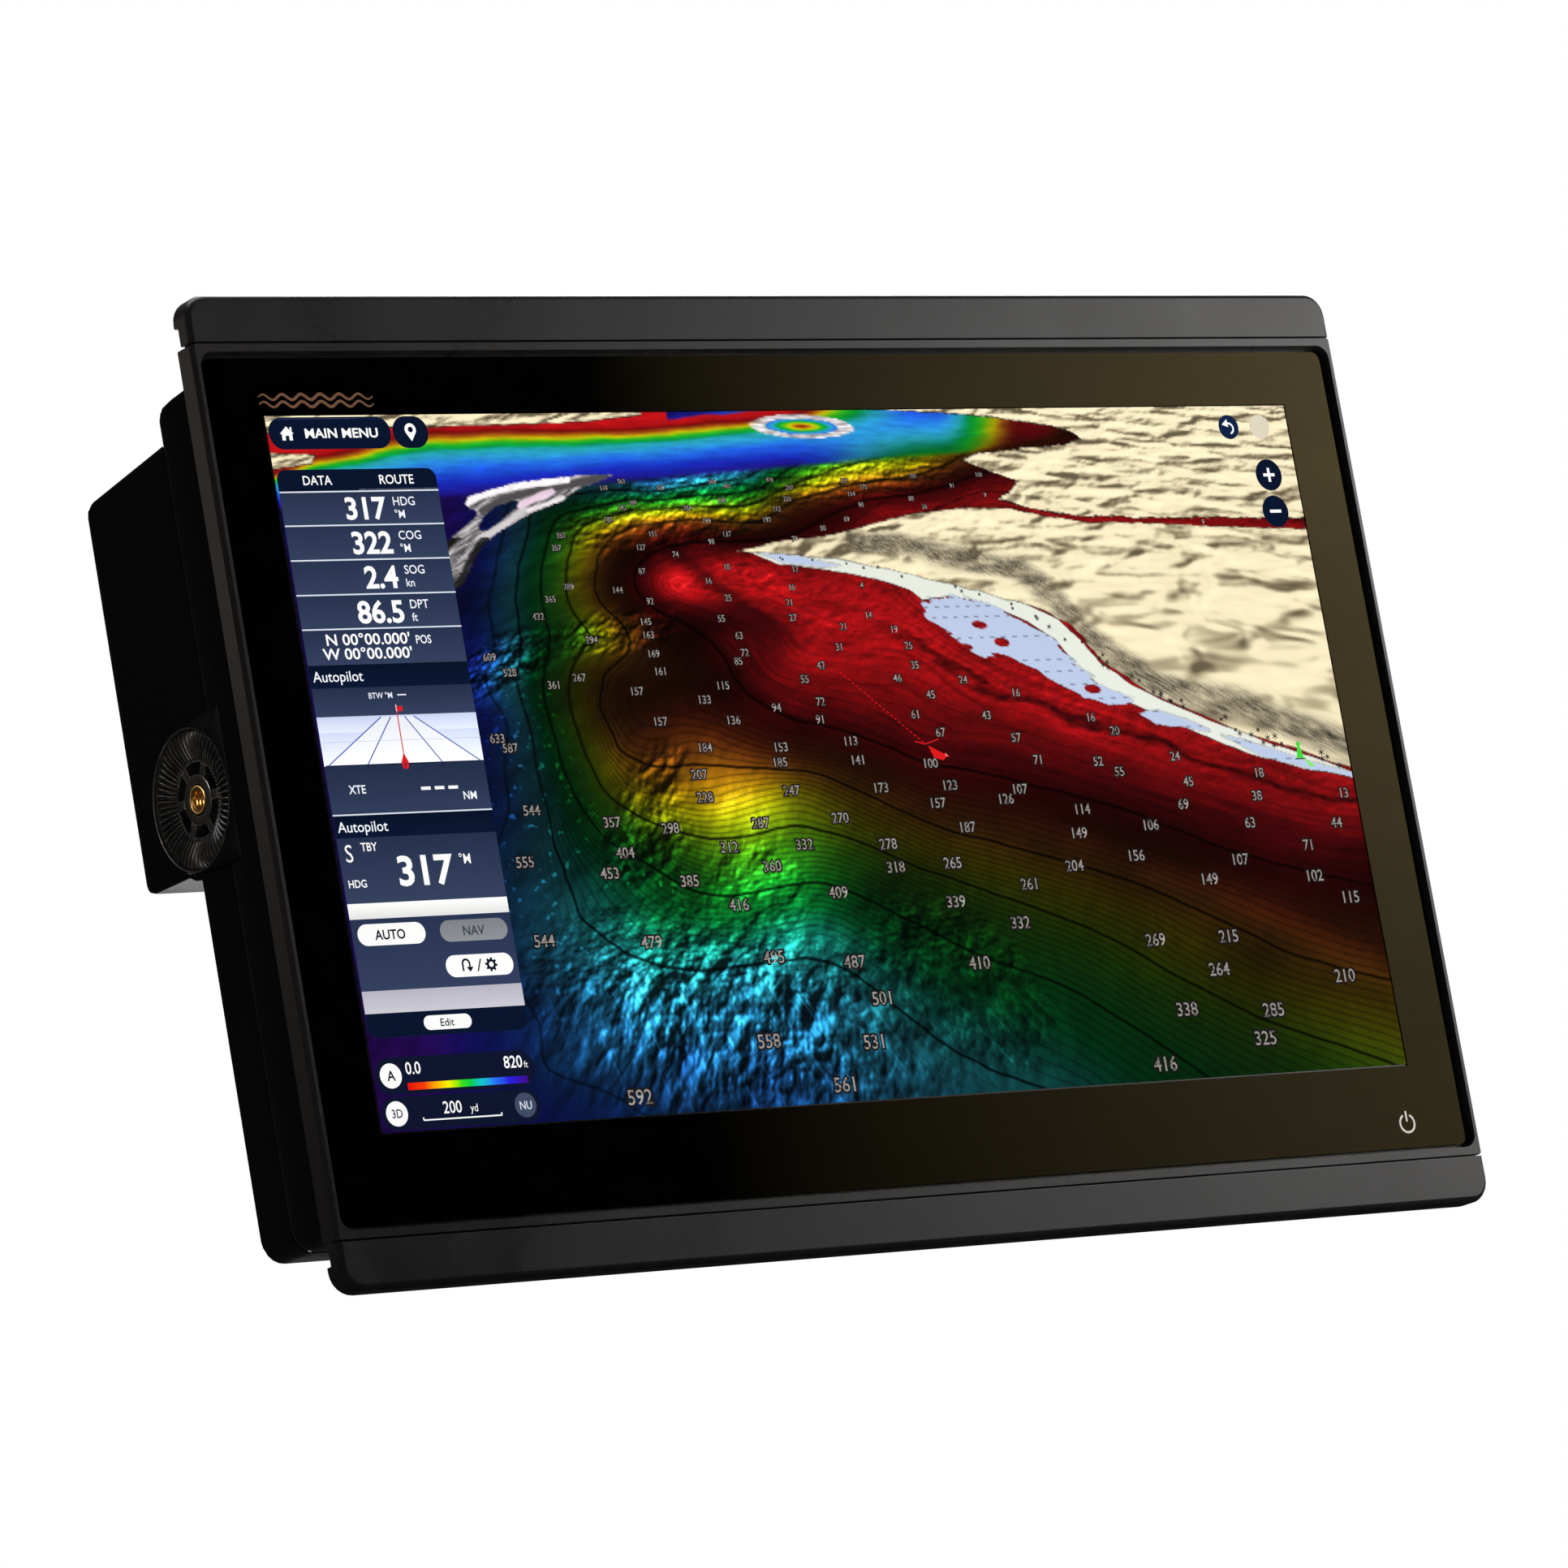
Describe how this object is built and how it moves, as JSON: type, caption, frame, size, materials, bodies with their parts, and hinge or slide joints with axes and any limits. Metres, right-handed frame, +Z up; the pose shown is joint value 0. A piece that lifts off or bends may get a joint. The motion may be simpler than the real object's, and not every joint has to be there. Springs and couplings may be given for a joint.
{
  "type": "chartplotter display",
  "caption": "Wide-screen marine chartplotter display with touch glass, clip-fitted trims, serrated bracket bosses and a stepped rear housing.",
  "frame": {"origin": "centre of the bottom of the bounding box, below the bottom trim", "axes": "+X to the right seen from the front, -Y the way the screen faces, +Z up along the glass"},
  "size_m": [0.384, 0.0762, 0.2674],
  "materials": {
    "glass": "gloss",
    "border_print": "matte print",
    "foam": "closed-cell foam",
    "frame_plastic": "fine-grain moulded",
    "trim_plastic": "fine-grain moulded",
    "lcd_glass": "gloss",
    "diffuser": "satin",
    "zinc_steel": "zinc plated",
    "housing_plastic": "semi-gloss moulded",
    "rubber": "matte",
    "label": "satin film",
    "boss_plastic": "satin moulded",
    "brass": "machined",
    "screw_steel": "passivated",
    "aluminium": "sheet",
    "circuit_board": "solder mask",
    "nickel": "nickel plated",
    "black_plastic": "moulded",
    "polyimide": "film"
  },
  "bodies": {
    "display": {"front_glass": "glass", "border_print": "border_print", "glass_adhesive": "foam", "console_gasket": "foam", "front_frame": "frame_plastic", "lcd_panel": "lcd_glass", "backlight_unit": "diffuser", "lcd_chassis": "zinc_steel", "card_door_pin": "zinc_steel", "housing_tub": "housing_plastic", "rear_cover": "housing_plastic", "housing_seal": "rubber", "vent_cap": "rubber", "connector_plate": "rubber", "card_door_seal": "rubber", "rating_plate": "label", "left_bracket_boss": "boss_plastic", "right_bracket_boss": "boss_plastic", "left_thread_insert": "brass", "right_thread_insert": "brass", "ground_terminal": "brass", "rear_screw_1": "screw_steel", "rear_screw_2": "screw_steel", "rear_screw_3": "screw_steel", "rear_screw_4": "screw_steel", "rear_screw_5": "screw_steel", "rear_screw_6": "screw_steel", "rear_screw_7": "screw_steel", "rear_screw_8": "screw_steel", "plate_screw_1": "screw_steel", "plate_screw_2": "screw_steel", "heat_spreader": "aluminium", "main_board": "circuit_board", "power_board": "circuit_board", "sounder_board": "circuit_board", "touch_controller_board": "circuit_board", "power_key_board": "circuit_board", "processor_shield": "nickel", "clock_cell": "nickel", "card_reader": "nickel", "network_connector_1": "nickel", "network_connector_2": "nickel", "network_connector_3": "nickel", "video_connector": "nickel", "service_connector": "nickel", "buzzer": "black_plastic", "power_connector": "black_plastic", "data_bus_connector": "black_plastic", "multi_connector": "black_plastic", "transducer_connector": "black_plastic", "lcd_flex_cable": "polyimide", "touch_flex_cable": "polyimide"},
    "top_trim": {"top_trim": "trim_plastic"},
    "bottom_trim": {"bottom_trim": "trim_plastic"},
    "card_door": {"card_door": "housing_plastic"},
    "memory_card": {"memory_card": "black_plastic"},
    "video_cap": {"video_port_cap": "rubber"},
    "service_cap": {"service_port_cap": "rubber"}
  },
  "joints": [
    {"name": "top_trim_pull", "type": "slide", "parent": "display", "child": "top_trim", "axis": [0, -1, 0], "range_m": [0, 0.012]},
    {"name": "bottom_trim_pull", "type": "slide", "parent": "display", "child": "bottom_trim", "axis": [0, -1, 0], "range_m": [0, 0.012]},
    {"name": "card_door_hinge", "type": "hinge", "parent": "display", "child": "card_door", "pos_m": [0.134, 0.0089, 0.0517], "axis": [-1, 0, 0], "range_deg": [0, 110]},
    {"name": "memory_card_push", "type": "slide", "parent": "display", "child": "memory_card", "axis": [0, -1, 0], "range_m": [0, 0.0012]},
    {"name": "video_cap_pull", "type": "slide", "parent": "display", "child": "video_cap", "axis": [0, 0, -1], "range_m": [0, 0.012]},
    {"name": "service_cap_pull", "type": "slide", "parent": "display", "child": "service_cap", "axis": [0, 0, -1], "range_m": [0, 0.012]}
  ]
}
